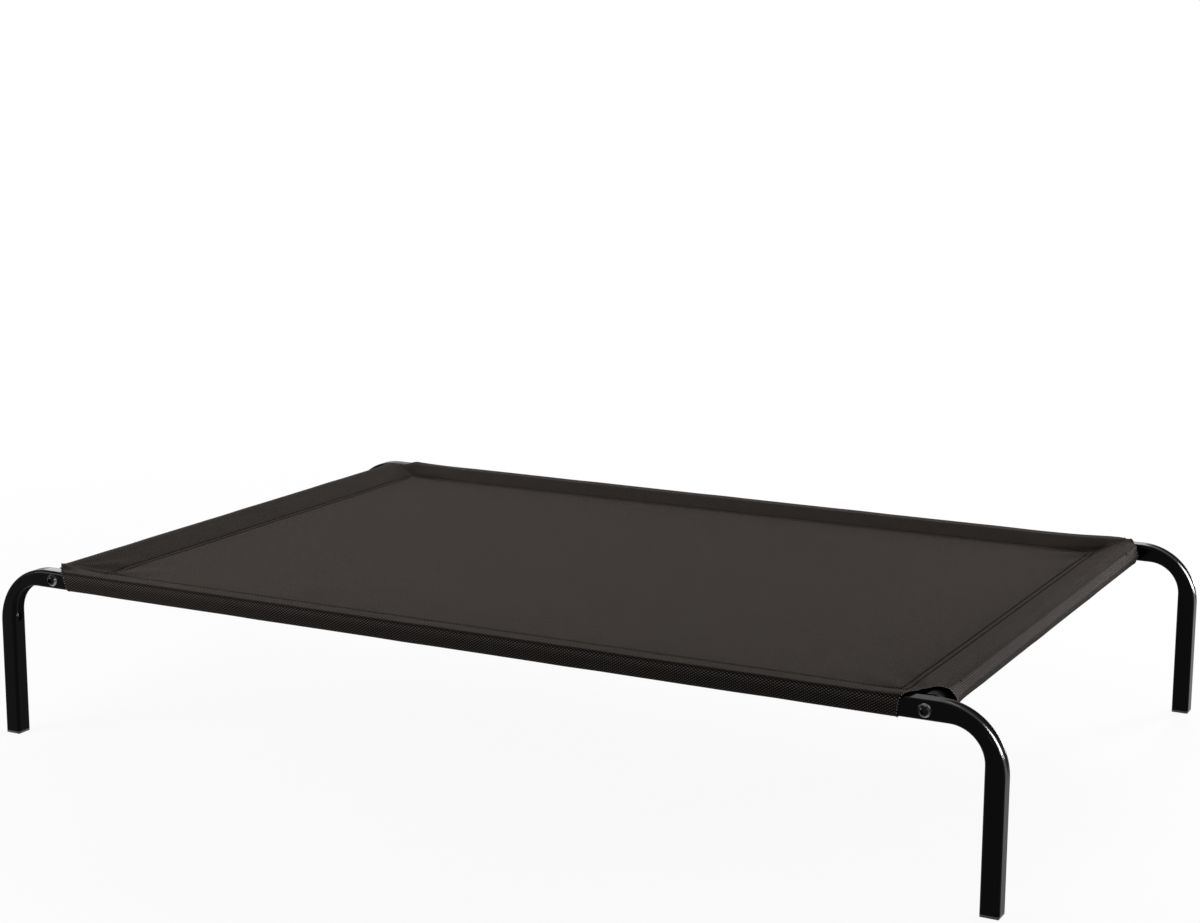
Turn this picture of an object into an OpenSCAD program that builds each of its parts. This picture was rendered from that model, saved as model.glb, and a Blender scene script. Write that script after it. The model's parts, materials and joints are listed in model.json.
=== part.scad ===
// Raised pet cot. Four legs bent from square tube slip onto two side rails, two round cross
// rails are bolted between the legs, and a fabric bed is stretched over the rails by its sleeves.
// Sizes are in millimetres. X runs along the bed, the front is at -Y and Z is up.
// The origin is on the floor under the middle of the bed.

/* [Frame] */
// Length over the outer faces of the legs
overall_length = 1200; // [900:1:1500]
// Width over the outer faces of the legs
overall_width = 748; // [560:1:1000]
// Height of the frame's top face above the floor
frame_height = 201.5; // [150:0.5:320]
// Distance from the outer face of a leg to the bolt beside it
bolt_inset = 79; // [76:0.5:84]

/* [Square tube] */
// Outside width of the tube of the legs and side rails
tube_size = 20; // [18:0.5:26]
// Wall of the square tube
tube_wall = 1.2; // [0.8:0.1:1.8]
// Outside radius of the tube's corners
tube_corner = 3.5; // [2.6:0.1:4.5]

/* [Legs] */
// Length of a leg's arm, from the leg's outer face to the slip joint
leg_reach = 130; // [120:1:180]
// Radius of the bend's outer face
bend_outer_radius = 68; // [60:0.5:71]
// Radius of the bend's inner face, which isn't concentric because the bend is flattened
bend_inner_radius = 35.5; // [30:0.5:44]
// Depth of the hollow that bending leaves along the outer wall
hollow_depth = 1.6; // [0.8:0.1:2.4]
// Radius of the hollow's section
hollow_radius = 14; // [10:0.5:18]
// Angle from the middle of the bend to where the hollow runs out
hollow_half_angle = 42; // [34:1:43]
// Depth of the crease pressed into the inner wall
crease_depth = 4; // [3:0.1:5]
// Radius of the crease's section
crease_radius = 9; // [7:0.5:10]
// Distance that the crease runs on past each end of the bend, getting shallower
crease_run_out = 12; // [6:0.5:13]

/* [Slip joints] */
// Outside clearance on each side of a piece that slides into a tube
slip_clearance = 0.15; // [0.05:0.05:0.3]
// Wall of the joiner tubes
joiner_wall = 1.5; // [0.8:0.1:2]
// Length of a joiner inside its side rail
joiner_in_rail = 40; // [25:1:80]
// Space kept between a joiner and the bolt hole
joiner_to_bolt = 6; // [2:0.5:15]

/* [Cross rails] */
// Outside diameter of the round cross rails
cross_rail_diameter = 22; // [19:0.5:26]
// Wall of the cross rails
cross_rail_wall = 1.2; // [0.8:0.1:2]
// Length of the threaded inserts in the ends of the cross rails
insert_length = 25; // [22:1:40]

/* [Bolts] */
// Diameter of the bolts
bolt_diameter = 8; // [6:0.5:9]
// Length of thread that a bolt has in its insert
bolt_grip = 20; // [12:1:22]
// Clearance across the bolt holes in the legs
bolt_hole_clearance = 0.5; // [0.2:0.1:1]
// Clearance across the bore of the inserts
thread_clearance = 0.1; // [0.05:0.05:0.2]
// Diameter of the bolt heads
bolt_head_diameter = 14; // [11:0.5:16]
// Height of the domed bolt heads
bolt_head_height = 4.4; // [3.5:0.1:5.5]
// Width across the flats of the hexagon sockets
socket_width = 5; // [3:0.5:6]
// Depth of the hexagon sockets
socket_depth = 2.6; // [1.5:0.1:3]

/* [Feet] */
// Thickness of a foot plug's head, below the end of the tube
foot_head = 3; // [2.5:0.1:6]
// Radius of the rounded lower edge of a foot plug
foot_edge = 1.5; // [0.5:0.1:2.4]
// Depth of a foot plug inside the tube
foot_depth = 18; // [12:1:30]
// Wall of a foot plug's core
foot_wall = 1.6; // [1:0.1:2.5]
// Height of the fins round a foot plug's core
fin_height = 1.4; // [0.8:0.1:2]
// Thickness of the fins
fin_thickness = 1.2; // [0.8:0.1:2]
// Number of fins
fin_count = 4; // [2:1:5]

/* [Fabric] */
// Thickness of the cloth
fabric_thickness = 1; // [0.6:0.1:1.5]
// Slack between a sleeve and its rail
sleeve_slack = 0.3; // [0.1:0.1:1]
// Distance from a sleeve's outer face to the seam that closes it
seam_inset = 47; // [38:1:70]
// Width of the doubled cloth between the seam and the panel
seam_lap = 12; // [6:1:20]
// Bare length of a long side, from the bolt to the end of its sleeve
bare_side = 26; // [24:0.5:40]
// Bare length of a cross rail, from the leg to the end of its sleeve
bare_end = 20; // [12:1:30]
// Space between a cross rail and the inner corner of the cut-out
cutout_clearance = 6; // [3:0.5:8]

/* [Hidden] */
$fn = 64;
paint_black = "#141414";
bolt_black = "#3a3a3c";
plastic_black = "#1c1c1c";
steel_grey = "#8a8d90";
fabric_black = "#33302e";

half_length = overall_length / 2;
half_width = overall_width / 2;
axis_height = frame_height - tube_size / 2;
bolt_x = half_length - bolt_inset;
rail_y = half_width - tube_size / 2;
leg_inner_y = half_width - tube_size;
slip_joint_x = half_length - leg_reach;

tube_bore = tube_size - 2 * tube_wall;
bore_corner = tube_corner - tube_wall;
bend_lead = bend_outer_radius - tube_size - bend_inner_radius;
inner_bend_centre = tube_size + bend_inner_radius;
hollow_floor = bend_outer_radius - hollow_depth;
hollow_shift = (pow(bend_outer_radius, 2) - pow(hollow_floor, 2))
    / (2 * (hollow_floor - bend_outer_radius * cos(hollow_half_angle)));
crease_floor = bend_inner_radius + crease_depth;
crease_end_reach = (bend_inner_radius - crease_run_out) / sqrt(2);
crease_shift = (pow(crease_floor, 2) - pow(bend_inner_radius, 2) - pow(crease_run_out, 2))
    / (2 * (crease_floor - crease_end_reach));
crease_path_radius = crease_floor - crease_shift - crease_radius;

bolt_hole = bolt_diameter + bolt_hole_clearance;
joiner_size = tube_bore - 2 * slip_clearance;
joiner_corner = bore_corner - slip_clearance;
joiner_in_leg = leg_reach - bolt_inset - bolt_hole / 2 - joiner_to_bolt;
cross_rail_bore = cross_rail_diameter - 2 * cross_rail_wall;
dome_radius = (pow(bolt_head_diameter / 2, 2) + pow(bolt_head_height, 2)) / (2 * bolt_head_height);

fin_size = tube_bore - 2 * slip_clearance;
core_size = fin_size - 2 * fin_height;
fin_pitch = (foot_depth - fin_thickness) / fin_count;

// How far inside a round the straight cloth that leaves it starts
tangent_bite = 0.02;
// How far a cutter reaches past what it cuts
cut_margin = 2;
sleeve_gap = sleeve_slack + fabric_thickness;
long_half = tube_size / 2 + sleeve_gap;
short_half = cross_rail_diameter / 2 + sleeve_gap;
sleeve_reach = seam_inset + seam_lap;
panel_x = bolt_x + short_half - sleeve_reach;
panel_y = rail_y + long_half - sleeve_reach;
cutout_x = bolt_x - cross_rail_diameter / 2 - cutout_clearance;
long_end_x = bolt_x - bare_side;
short_end_y = leg_inner_y - bare_end;

// Puts a piece made for the front right corner at one of the four corners
module at_corner(side, face) {
    mirror([side < 0 ? 1 : 0, 0, 0])
        mirror([0, face > 0 ? 1 : 0, 0])
            children();
}

// Lays a piece drawn along Z down along X, with its X side turned to +Y
module along_x() {
    rotate([90, 0, 90]) children();
}

// Turns a section about the Y direction, from +X up to +Z
module quarter_turn() {
    rotate([90, 0, 0]) rotate_extrude(angle = 90) children();
}

module rounded_square(size, corner) {
    flat = size - 2 * corner;
    square([size, flat], center = true);
    square([flat, size], center = true);
    for (x = [-flat / 2, flat / 2], y = [-flat / 2, flat / 2])
        translate([x, y]) circle(corner);
}

module square_tube(size, corner, wall) {
    difference() {
        rounded_square(size, corner);
        rounded_square(size - 2 * wall, corner - wall);
    }
}

// Everything beyond the inner face of a square bar, and beyond its two rounded corners there
module inner_face_cutter(size, corner) {
    depth = bend_lead * (sqrt(2) - 1) + cut_margin;
    width = size + 2 * cut_margin;
    difference() {
        translate([-depth, -width / 2]) square([depth + corner, width]);
        translate([size / 2, 0]) rounded_square(size, corner);
    }
}

// The flattened bend of a bar whose top and outer faces lie in the planes z = 0 and x = 0
module bend_bar(size, corner, outer_radius, inner_radius) {
    inner_centre = size + inner_radius;
    difference() {
        translate([-outer_radius, 0, -outer_radius])
            quarter_turn()
                translate([outer_radius - size / 2, 0]) {
                    rounded_square(size, corner);
                    translate([-size / 2, -size / 2]) square([size / 2, size]);
                }
        translate([-inner_centre, 0, -inner_centre])
            quarter_turn() translate([inner_radius, 0]) inner_face_cutter(size, corner);
        translate([bend_lead - outer_radius, 0, -size])
            rotate([0, -90, 0]) linear_extrude(bend_lead) inner_face_cutter(size, corner);
        translate([-size, 0, -outer_radius])
            linear_extrude(bend_lead) inner_face_cutter(size, corner);
    }
}

// The bent bar of a leg, from the slip joint to the foot, in the same planes
module leg_bar(size, corner, outer_radius, inner_radius, inset) {
    arm_length = leg_reach - bend_outer_radius;
    post_length = frame_height - foot_head - bend_outer_radius;
    translate([-inset, 0, -inset]) bend_bar(size, corner, outer_radius, inner_radius);
    translate([-leg_reach, 0, -inset - size / 2])
        along_x() linear_extrude(arm_length) rounded_square(size, corner);
    translate([-inset - size / 2, 0, foot_head - frame_height])
        linear_extrude(post_length) rounded_square(size, corner);
}

// The hollow of the outer wall and the crease of the inner wall, grown by a margin
module bend_dents(margin) {
    hollow_centre = -bend_outer_radius - hollow_shift / sqrt(2);
    translate([hollow_centre, 0, hollow_centre])
        quarter_turn()
            translate([hollow_floor + hollow_shift + hollow_radius, 0]) circle(hollow_radius + margin);
    crease_centre = crease_shift / sqrt(2) - inner_bend_centre;
    translate([crease_centre, 0, crease_centre])
        rotate([90, 0, 0])
            rotate_extrude() translate([crease_path_radius, 0]) circle(crease_radius + margin);
}

module leg() {
    color(paint_black)
        translate([half_length, -rail_y, frame_height])
            difference() {
                leg_bar(tube_size, tube_corner, bend_outer_radius, bend_inner_radius, 0);
                bend_dents(0);
                difference() {
                    leg_bar(tube_bore, bore_corner, bend_outer_radius - tube_wall,
                        bend_inner_radius + tube_wall, tube_wall);
                    bend_dents(tube_wall);
                }
                translate([-bolt_inset, tube_size, -tube_size / 2])
                    rotate([90, 0, 0]) cylinder(h = 2 * tube_size, d = bolt_hole);
            }
}

module joiner() {
    color(steel_grey)
        translate([slip_joint_x - joiner_in_rail, -rail_y, axis_height])
            along_x()
                linear_extrude(joiner_in_rail + joiner_in_leg)
                    square_tube(joiner_size, joiner_corner, joiner_wall);
}

// A square with rounded lower corners, for the side view of a foot plug's head
module foot_side() {
    flat = tube_size - 2 * foot_edge;
    translate([-tube_size / 2, foot_edge]) square([tube_size, foot_head - foot_edge]);
    translate([-flat / 2, 0]) square([flat, foot_head]);
    for (x = [-flat / 2, flat / 2])
        translate([x, foot_edge]) circle(foot_edge);
}

module foot_plug() {
    intersection() {
        linear_extrude(foot_head) rounded_square(tube_size, tube_corner);
        translate([0, tube_size, 0]) rotate([90, 0, 0]) linear_extrude(2 * tube_size) foot_side();
        translate([-tube_size, 0, 0]) along_x() linear_extrude(2 * tube_size) foot_side();
    }
    translate([0, 0, foot_head])
        linear_extrude(foot_depth)
            square_tube(core_size, bore_corner, foot_wall);
    for (i = [1:fin_count])
        translate([0, 0, foot_head + i * fin_pitch])
            linear_extrude(fin_thickness)
                difference() {
                    rounded_square(fin_size, bore_corner);
                    rounded_square(core_size - foot_wall, bore_corner - foot_wall / 2);
                }
}

module foot() {
    color(plastic_black)
        translate([half_length - tube_size / 2, -rail_y, 0]) foot_plug();
}

module side_rail() {
    color(paint_black)
        translate([-slip_joint_x, -rail_y, axis_height])
            along_x()
                linear_extrude(2 * slip_joint_x) square_tube(tube_size, tube_corner, tube_wall);
}

module cross_rail() {
    color(paint_black)
        translate([bolt_x, leg_inner_y, axis_height])
            rotate([90, 0, 0])
                linear_extrude(2 * leg_inner_y)
                    difference() {
                        circle(d = cross_rail_diameter);
                        circle(d = cross_rail_bore);
                    }
}

module threaded_insert() {
    translate([bolt_x, insert_length - leg_inner_y, axis_height])
        rotate([90, 0, 0])
            linear_extrude(insert_length)
                difference() {
                    circle(d = cross_rail_bore - 2 * slip_clearance);
                    circle(d = bolt_diameter + thread_clearance);
                }
}

module threaded_inserts() {
    color(steel_grey)
        for (side = [-1, 1], face = [-1, 1])
            at_corner(side, face) threaded_insert();
}

module bolt() {
    shank = tube_size + bolt_grip;
    difference() {
        rotate_extrude()
            intersection() {
                translate([0, bolt_head_height - dome_radius]) circle(dome_radius);
                square([bolt_head_diameter, bolt_head_height]);
            }
        translate([0, 0, bolt_head_height - socket_depth])
            cylinder(h = bolt_head_height, d = socket_width / cos(30), $fn = 6);
    }
    translate([0, 0, -shank]) cylinder(h = shank, d = bolt_diameter);
}

module corner_bolts() {
    color(bolt_black)
        for (side = [-1, 1], face = [-1, 1])
            at_corner(side, face)
                translate([bolt_x, -half_width, axis_height]) rotate([90, 0, 0]) bolt();
}

// Where a line from an outside point touches the upper side of a circle, just under its edge
function touch_point(centre, radius, point) =
    let (reach = point - centre)
    let (inner = radius - tangent_bite)
    let (angle = atan2(reach[1], reach[0]) + acos(inner / norm(reach)))
    centre + inner * [cos(angle), sin(angle)];

module rail_outline(half, corner) {
    if (corner < half) rounded_square(2 * half, corner);
    else circle(half);
}

// The cloth from a rail to its seam: two tangents from the rail to the tip, and the lap beyond
module sleeve_tail(half, corner, tip) {
    touch = touch_point([half - corner, half - corner], corner, tip);
    lap_end = tip[0] + seam_lap;
    polygon([
        touch, tip, [lap_end, tip[1]],
        [lap_end, -tip[1]], [tip[0], -tip[1]], [touch[0], -touch[1]]
    ]);
}

// The wedge of air between the two layers of a sleeve
module sleeve_wedge(half, corner, seam) {
    touch = touch_point([half - corner, half - corner], corner, [seam, 0]);
    polygon([touch, [seam, 0], [touch[0], -touch[1]]]);
}

// A sleeve along Z about its rail's axis, with the panel on the +X side
module sleeve(half, corner, length) {
    seam = seam_inset - half;
    inner_half = half - fabric_thickness;
    inner_corner = corner - fabric_thickness;
    difference() {
        union() {
            linear_extrude(length) rail_outline(half, corner);
            linear_extrude(length) sleeve_tail(half, corner, [seam, fabric_thickness]);
        }
        linear_extrude(length) rail_outline(inner_half, inner_corner);
        linear_extrude(length) sleeve_wedge(inner_half, inner_corner, seam);
    }
}

// Keeps the part of a sleeve that lies over an outline in plan
module trimmed_to(outline) {
    intersection() {
        children();
        linear_extrude(2 * frame_height) polygon(outline);
    }
}

module long_sleeve() {
    edge_y = -half_width - 2 * sleeve_gap;
    outline = [
        [-panel_x, -panel_y], [-cutout_x, -short_end_y], [-long_end_x, edge_y],
        [long_end_x, edge_y], [cutout_x, -short_end_y], [panel_x, -panel_y]
    ];
    color(fabric_black)
        trimmed_to(outline)
            translate([-half_length, -rail_y, axis_height])
                along_x() sleeve(long_half, tube_corner + sleeve_gap, overall_length);
}

module short_sleeve() {
    edge_x = bolt_x + 2 * short_half;
    outline = [
        [panel_x, -panel_y], [cutout_x, -short_end_y], [edge_x, -short_end_y],
        [edge_x, short_end_y], [cutout_x, short_end_y], [panel_x, panel_y]
    ];
    color(fabric_black)
        trimmed_to(outline)
            translate([bolt_x, -half_width, axis_height])
                rotate([90, 0, 180]) sleeve(short_half, short_half, overall_width);
}

module sleeping_panel() {
    color(fabric_black)
        translate([-panel_x, -panel_y, axis_height])
            cube([2 * panel_x, 2 * panel_y, fabric_thickness]);
}

at_corner(-1, -1) leg();  // leg_front_left
at_corner(1, -1) leg();  // leg_front_right
at_corner(-1, 1) leg();  // leg_rear_left
at_corner(1, 1) leg();  // leg_rear_right
at_corner(-1, -1) joiner();  // joiner_front_left
at_corner(1, -1) joiner();  // joiner_front_right
at_corner(-1, 1) joiner();  // joiner_rear_left
at_corner(1, 1) joiner();  // joiner_rear_right
at_corner(-1, -1) foot();  // foot_front_left
at_corner(1, -1) foot();  // foot_front_right
at_corner(-1, 1) foot();  // foot_rear_left
at_corner(1, 1) foot();  // foot_rear_right
at_corner(1, -1) side_rail();  // side_rail_front
at_corner(1, 1) side_rail();  // side_rail_rear
at_corner(-1, -1) cross_rail();  // cross_rail_left
at_corner(1, -1) cross_rail();  // cross_rail_right
threaded_inserts();
corner_bolts();
sleeping_panel();
at_corner(1, -1) long_sleeve();  // front_sleeve
at_corner(1, 1) long_sleeve();  // rear_sleeve
at_corner(-1, -1) short_sleeve();  // left_sleeve
at_corner(1, -1) short_sleeve();  // right_sleeve
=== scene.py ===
"""Looks of a raised pet cot: a sewn cloth bed stretched over a gloss black tube frame.

Metres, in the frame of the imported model: X along the bed, the front at -Y, Z up, the floor at Z 0.
"""
import json
import math
from collections import namedtuple

import bpy
import numpy as np
from mathutils import Matrix, Vector


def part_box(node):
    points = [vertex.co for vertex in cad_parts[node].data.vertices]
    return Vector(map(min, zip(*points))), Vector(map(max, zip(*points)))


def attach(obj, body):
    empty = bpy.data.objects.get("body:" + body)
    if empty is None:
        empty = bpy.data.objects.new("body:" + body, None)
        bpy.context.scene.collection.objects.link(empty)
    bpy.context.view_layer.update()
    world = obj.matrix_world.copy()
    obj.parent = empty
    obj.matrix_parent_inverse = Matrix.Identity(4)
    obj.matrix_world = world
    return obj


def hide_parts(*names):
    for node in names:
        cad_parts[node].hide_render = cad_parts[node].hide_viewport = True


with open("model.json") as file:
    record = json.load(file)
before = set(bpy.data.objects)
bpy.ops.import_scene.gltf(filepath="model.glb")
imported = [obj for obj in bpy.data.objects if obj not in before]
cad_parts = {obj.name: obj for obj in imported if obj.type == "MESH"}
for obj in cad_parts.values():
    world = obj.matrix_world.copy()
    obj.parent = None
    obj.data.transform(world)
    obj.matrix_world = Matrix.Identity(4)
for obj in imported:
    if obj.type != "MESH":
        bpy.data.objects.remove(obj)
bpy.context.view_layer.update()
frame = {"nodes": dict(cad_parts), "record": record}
scene = bpy.context.scene

# Sizes that the frame gives
rail_low, rail_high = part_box("side_rail_front")
cross_low, cross_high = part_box("cross_rail_right")
long_low, long_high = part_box("front_sleeve")
_, short_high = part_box("right_sleeve")
panel_low, panel_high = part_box("sleeping_panel")

AXIS_Z = (rail_low.z + rail_high.z) / 2
RAIL_Y = -(rail_low.y + rail_high.y) / 2
RAIL_HALF = (rail_high.z - rail_low.z) / 2
CROSS_X = (cross_low.x + cross_high.x) / 2
CROSS_RADIUS = (cross_high.z - cross_low.z) / 2
CUTOUT_X = long_high.x
CUTOUT_Y = short_high.y
LAP_X = panel_high.x
LAP_Y = panel_high.y
PANEL_Z = (panel_low.z + panel_high.z) / 2

# Cloth: its thickness, its gap to the tubes, the panel's sag, and the steps of its grid
CLOTH = 0.0007
SLACK = 0.0001
TUBE_CORNER = 0.0035
LAYER_GAP = 0.0010
SAG = 0.004
GRID_STEP = 0.004
BORDER_STEPS = 7

# Seams: two rows along each side of the panel, each in a groove, with puckers beside them.
# The grid has close steps beside each row, and keeps a clearance to them.
Wave = namedtuple("Wave", "longest seed")
SEAM_INSET = 0.0483
SEAM_SPACING = 0.0065
SEAM_X = short_high.x - SEAM_INSET
SEAM_Y = -long_low.y - SEAM_INSET
SEAM_ROUND = 0.004
GROOVE_DEPTH = 0.0007
GROOVE_WIDTH = 0.0016
GROOVE_END = 0.002
GROOVE_STEPS = np.array([0.0, 0.0007, 0.0014, 0.0024])
GROOVE_REACH = GROOVE_STEPS[-1]
GRID_CLEARANCE = 0.0032
PUCKER = 0.00022
PUCKER_REACH = 0.013
LONG_PUCKERS = Wave(longest=0.031, seed=1.7)
SHORT_PUCKERS = Wave(longest=0.029, seed=0.6)

# Pulls that fan out from a place a little beyond each corner's cut-out
FOLD = 0.0007
FOLD_BEYOND = 0.01
FOLD_REACH = 0.055
FOLD_WIDTH = 0.045
FOLD_TURNS = 11
FOLD_PHASE = 0.7

# Short sleeves: a loose roll with a flat band between two creases, which draws close to the tube below
ROLL_SLACK = 0.0018
ROLL_END = math.radians(74)
CREASE_RADIUS = 0.0133
CREASE_HIGH = math.radians(47)
CREASE_LOW = math.radians(4)
CREASE_ROUND = 0.0007
BELOW_START = math.radians(-40)
CLOSING_START = math.radians(-60)
CLOSING_SPAN = math.radians(50)

# Ends of the cloth at the corners. It sits a little askew, so two corners are pulled out over the
# legs, and the other two are set back and stand open. For each: the cut-out's inner corner in plan,
# the ends of the long and the short sleeve at their upper and lower edges, and how open it is.
CornerCut = namedtuple("CornerCut", "notch long_high long_low short_high short_low open")
PULLED_OUT = CornerCut(
    notch=(CUTOUT_X + 0.0185, CUTOUT_Y + 0.0205),
    long_high=CUTOUT_X - 0.0010, long_low=CUTOUT_X - 0.0055,
    short_high=CUTOUT_Y + 0.0020, short_low=CUTOUT_Y + 0.0060, open=0.0,
)
SET_BACK = CornerCut(
    notch=(CUTOUT_X + 0.0060, CUTOUT_Y + 0.0060),
    long_high=CUTOUT_X - 0.0085, long_low=CUTOUT_X - 0.0105,
    short_high=CUTOUT_Y, short_low=CUTOUT_Y, open=1.0,
)
END_REACH = 0.055
UPPER_EDGE = math.radians(30)
LOWER_EDGE = math.radians(-45)
FLARE = 0.0045
FLARE_POWER = 1.5
LIFT = 0.0018
LIFT_POWER = 3
SLEEVE_WAVER = 0.00018
SLEEVE_WAVE = 0.17
SLEEVE_SEEDS = 3.0

# The rear right corner, where the cloth stands up over the leg
BULGE_PLACE = (CUTOUT_X - 0.001, RAIL_Y - 0.004)
BULGE_HEIGHT = 0.0028
BULGE_REACH = 0.042
BULGE_FALL = 0.013

# Sewing
STITCH_PITCH = 0.0036
STITCH_LENGTH = 0.0032
STITCH_RADIUS = 0.00055
STITCH_LIFT = 0.35 * STITCH_RADIUS
TACK_LENGTH = 0.0050
TACK_SPACING = 0.0008
TACK_FROM_END = 0.036
BINDING_RADIUS = 0.0006
BINDING_PITCH = 0.0030
EDGE_STITCH_RADIUS = 0.00036
EDGE_STITCH_LIFT = 0.1 * EDGE_STITCH_RADIUS
EDGE_STITCH_ALONG = 0.0008
EDGE_STITCH_ACROSS = 0.0006

# Weave: the width of a yarn along each axis of the flat cut, how full the yarns' crossings are, the
# share and depth of the bumps, and the darkest and palest tone of the dark and the light yarns
YARN_WIDTHS = {"X": 0.0022, "Y": 0.0014}
CROSSING_POWER = 0.55
FIBRE_SHARE = 0.25
WEAVE_DEPTH = 0.00035
DARK_YARN = ((0.0014, 0.0012, 0.0011, 1), (0.0020, 0.0018, 0.0016, 1))
LIGHT_YARN = ((0.046, 0.0402, 0.0370, 1), (0.057, 0.0498, 0.0460, 1))
SHEEN_TINT = (1.0, 0.84, 0.73, 1)

# Painted light and shade in the light yarns' colour, in strips along the sleeves, with a rise before each
# strip and a fall after it. On a short sleeve a strip starts from the upper crease and stops from the lower
# one. On a long sleeve both are counted from the rail's upper outer edge. Each lies over the ones before it.
PaintedLight = namedtuple("PaintedLight", "start stop rise fall colour")
# Short sleeves: painted shade on the roll above the flat band and below it, then a painted highlight on the
# band
SHORT_PAINTED_LIGHT = (
    PaintedLight(start=0.0, stop=0.0125, rise=0.0085, fall=0.0005, colour=(0.017, 0.0147, 0.0138, 1)),
    PaintedLight(start=0.0, stop=0.0, rise=0.0008, fall=0.0008, colour=(0.086, 0.0775, 0.0775, 1)),
)
# Long sleeves: a painted highlight on the outer face just below the rail's upper edge, and a painted shade
# line on the top along that edge
LONG_PAINTED_LIGHT = (
    PaintedLight(start=0.0018, stop=0.0030, rise=0.0010, fall=0.0060, colour=(0.088, 0.0775, 0.0715, 1)),
    PaintedLight(start=-0.0012, stop=-0.0002, rise=0.0060, fall=0.0008, colour=(0.038, 0.0333, 0.0307, 1)),
)

# Other colours
BLACK_THREAD = (0.0035, 0.0032, 0.003)
WARM_THREAD = (0.035, 0.0306, 0.028)
GREY_THREAD = (0.14, 0.136, 0.128)
PAINT = (0.0016, 0.0016, 0.0017, 1)
PAINT_DUST = (0.006, 0.006, 0.0063, 1)
ZINC = (0.52, 0.53, 0.54)
OXIDE = (0.009, 0.009, 0.0095)
# Paler steel for a painted highlight at the rims of the bolt heads
RIM_HIGHLIGHT_STEEL = (0.34, 0.34, 0.35)
PLASTIC = (0.011, 0.011, 0.011, 1)
PLASTIC_SCUFF = (0.022, 0.022, 0.022, 1)
PALE_FLOOR = (0.7, 0.7, 0.7, 1)
WHITE = (1, 1, 1, 1)

# Where the painted highlight at a bolt head's rim starts, and where it is brightest, from the bolt's axis
RIM_HIGHLIGHT_RADII = (0.0046, 0.0064)

# Studio: the floor's half side, and the light of the white surrounding on what isn't seen directly
FLOOR_HALF = 9.0
FILL_LIGHT = 0.22

# Camera, from a fit of the frame's edges to the photograph, whose long side is 1200 pixels
CAMERA_PLACE = Vector((1.1955, -2.3140, 0.8206))
CAMERA_AZIMUTH = math.radians(27.619)
CAMERA_ELEVATION = math.radians(11.006)
CAMERA_ROLL = math.radians(0.246)
SENSOR = 36.0
FOCAL_PIXELS = 2280.7
IMAGE_WIDTH = 1200


def smoothstep(value):
    """0 below 0, 1 above 1, and smooth between them."""
    clipped = np.clip(value, 0, 1)
    return clipped * clipped * (3 - 2 * clipped)


def ramp(distance, blend):
    """0 below 0 and the distance above it, rounded over the blend on each side."""
    middle = (distance + blend) ** 2 / (4 * blend)
    return np.where(distance < -blend, 0, np.where(distance > blend, distance, middle))


def bell(distance, width):
    """1 at no distance, falling smoothly to about a third at the width."""
    return np.exp(-((distance / width) ** 2))


def waver(along, longest, seed):
    """A smooth uneven wave between about -1 and 1, from sines of three lengths."""
    shares = (0.5, 0.3, 0.2)
    shortening = 0.83
    first_phase = 2.1
    total = np.zeros_like(along)
    for step, share in enumerate(shares):
        length = longest / (1.0 + shortening * step)
        total = total + share * np.sin(2 * math.pi * along / length + seed * (first_phase + step))
    return total


def end_index(side):
    """The first place in a row for side -1, and the last one for side 1."""
    return 0 if side < 0 else -1


# Sections of the sleeves: points (outward, up) from a rail's axis, from the panel round to the lap
def arc(centre, radius, start, stop, count):
    angles = np.linspace(start, stop, count)
    return centre + radius * np.stack([np.cos(angles), np.sin(angles)], axis=1)


def between(start, stop, count):
    """Points inside a straight run, without its ends."""
    shares = np.linspace(0, 1, count + 2)[1:-1, None]
    return np.array(start) * (1 - shares) + np.array(stop) * shares


def touch_angle(centre, radius, tip, upper):
    """The angle at which a straight run from an inner tip leaves a round corner."""
    reach = np.array(tip) - centre
    turn = math.acos(radius / np.hypot(*reach))
    toward_tip = math.atan2(reach[1], reach[0])
    return toward_tip - turn if upper else toward_tip + turn


def square_wrap(tip_high, tip_low):
    """A close wrap round the square tube and its rounded corners."""
    inner_points, outer_points, flat_points = 4, 9, 6
    half = RAIL_HALF + SLACK + CLOTH / 2
    corner = TUBE_CORNER + SLACK + CLOTH / 2
    flat = half - corner
    quarter = math.pi / 2
    high_start = touch_angle(np.array([-flat, flat]), corner, tip_high, True) % (2 * math.pi)
    low_stop = touch_angle(np.array([-flat, -flat]), corner, tip_low, False) % (2 * math.pi)
    corners = [
        arc(np.array([-flat, flat]), corner, high_start, quarter, inner_points),
        arc(np.array([flat, flat]), corner, quarter, 0, outer_points),
        arc(np.array([flat, -flat]), corner, 0, -quarter, outer_points),
        arc(np.array([-flat, -flat]), corner, -quarter, low_stop - 2 * math.pi, inner_points),
    ]
    pieces = [corners[0]]
    for last, following in zip(corners, corners[1:]):
        pieces += [between(last[-1], following[0], flat_points), following]
    return np.concatenate(pieces)


def crease(before, corner, after):
    """A small round at a corner between two straight runs."""
    count = 5
    shares = np.linspace(0, 1, count)[:, None]
    first, last = (
        corner + CREASE_ROUND * (point - corner) / np.hypot(*(point - corner)) for point in (before, after)
    )
    return (1 - shares) ** 2 * first + 2 * shares * (1 - shares) * corner + shares ** 2 * last


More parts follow.
